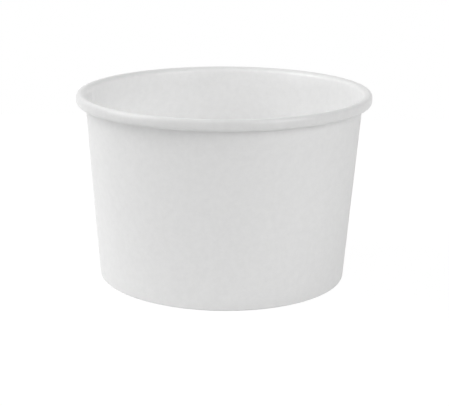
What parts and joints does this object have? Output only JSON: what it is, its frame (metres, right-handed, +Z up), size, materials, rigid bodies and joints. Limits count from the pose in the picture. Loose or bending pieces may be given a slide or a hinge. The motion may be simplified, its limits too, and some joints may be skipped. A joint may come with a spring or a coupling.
{
  "type": "paper sundae cup",
  "caption": "Short round tapered paper cup with a rolled rim and a recessed bottom, for a portion of ice cream or dessert.",
  "frame": {"origin": "centre of the foot ring, on the surface that the cup stands on", "axes": "+Z up the cup's axis, towards its mouth; -Y towards the picture's camera, +X to its right; the glued lap seam lies at the left, a little behind the X axis"},
  "size_m": [0.096, 0.096, 0.0614],
  "materials": {
    "wall_board": "white coated paperboard, satin inside and over the rolled rim, matt outside",
    "bottom_board": "white coated paperboard, satin above, matt underneath"
  },
  "bodies": {
    "root": {"side_wall": "wall_board", "bottom_disc": "bottom_board"}
  },
  "joints": []
}
